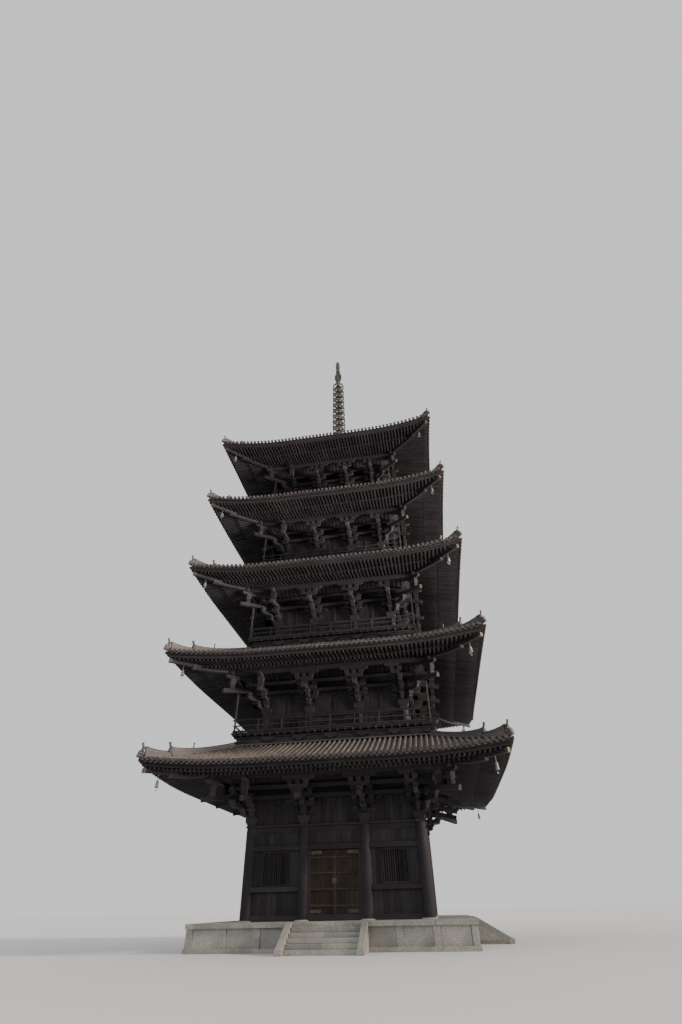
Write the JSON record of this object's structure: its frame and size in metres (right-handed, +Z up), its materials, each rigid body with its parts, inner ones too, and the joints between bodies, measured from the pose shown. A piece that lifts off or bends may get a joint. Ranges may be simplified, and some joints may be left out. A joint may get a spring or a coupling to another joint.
{
  "type": "five-storeyed timber pagoda, 1:2 scale model",
  "caption": "Square timber pagoda with tiled roofs on stepped brackets, railed balconies, hollow storeys and a tall bronze ring spire, as a half-size model.",
  "frame": {"origin": "centre of the podium's underside, at ground level", "axes": "+Z up along the spire, front steps towards -Y, +X to the right seen from the front"},
  "size_m": [9.8262, 9.8262, 27.4],
  "materials": {
    "timber": "dark weathered timber, matt, with silvered grain on exposed ends",
    "door_timber": "dark weathered planks with iron fittings",
    "roof_tile": "unglazed grey fired clay tiles, weathered",
    "stone": "dressed granite, weathered",
    "bronze": "dark grey-green bronze patina"
  },
  "bodies": {
    "root": {"front_steps": "stone", "front_wall": "timber", "front_doors": "door_timber", "right_steps": "stone", "right_wall": "timber", "right_doors": "door_timber", "back_steps": "stone", "back_wall": "timber", "back_doors": "door_timber", "left_steps": "stone", "left_wall": "timber", "left_doors": "door_timber", "podium": "stone", "storey1_brackets": "timber", "roof1_eaves": "timber", "roof1_tiles": "roof_tile", "storey2_brackets": "timber", "roof2_eaves": "timber", "roof2_tiles": "roof_tile", "storey2_walls": "timber", "balcony2_floor": "timber", "balcony2_railing": "timber", "storey3_brackets": "timber", "roof3_eaves": "timber", "roof3_tiles": "roof_tile", "storey3_walls": "timber", "balcony3_floor": "timber", "balcony3_railing": "timber", "storey4_brackets": "timber", "roof4_eaves": "timber", "roof4_tiles": "roof_tile", "storey4_walls": "timber", "balcony4_floor": "timber", "balcony4_railing": "timber", "storey5_brackets": "timber", "roof5_eaves": "timber", "roof5_tiles": "roof_tile", "storey5_walls": "timber", "balcony5_floor": "timber", "balcony5_railing": "timber", "spire_dew_basin": "bronze", "spire_bowl_and_lotus": "bronze", "spire_mast_and_rings": "bronze", "spire_flame": "bronze", "spire_jewel": "bronze"}
  },
  "joints": []
}
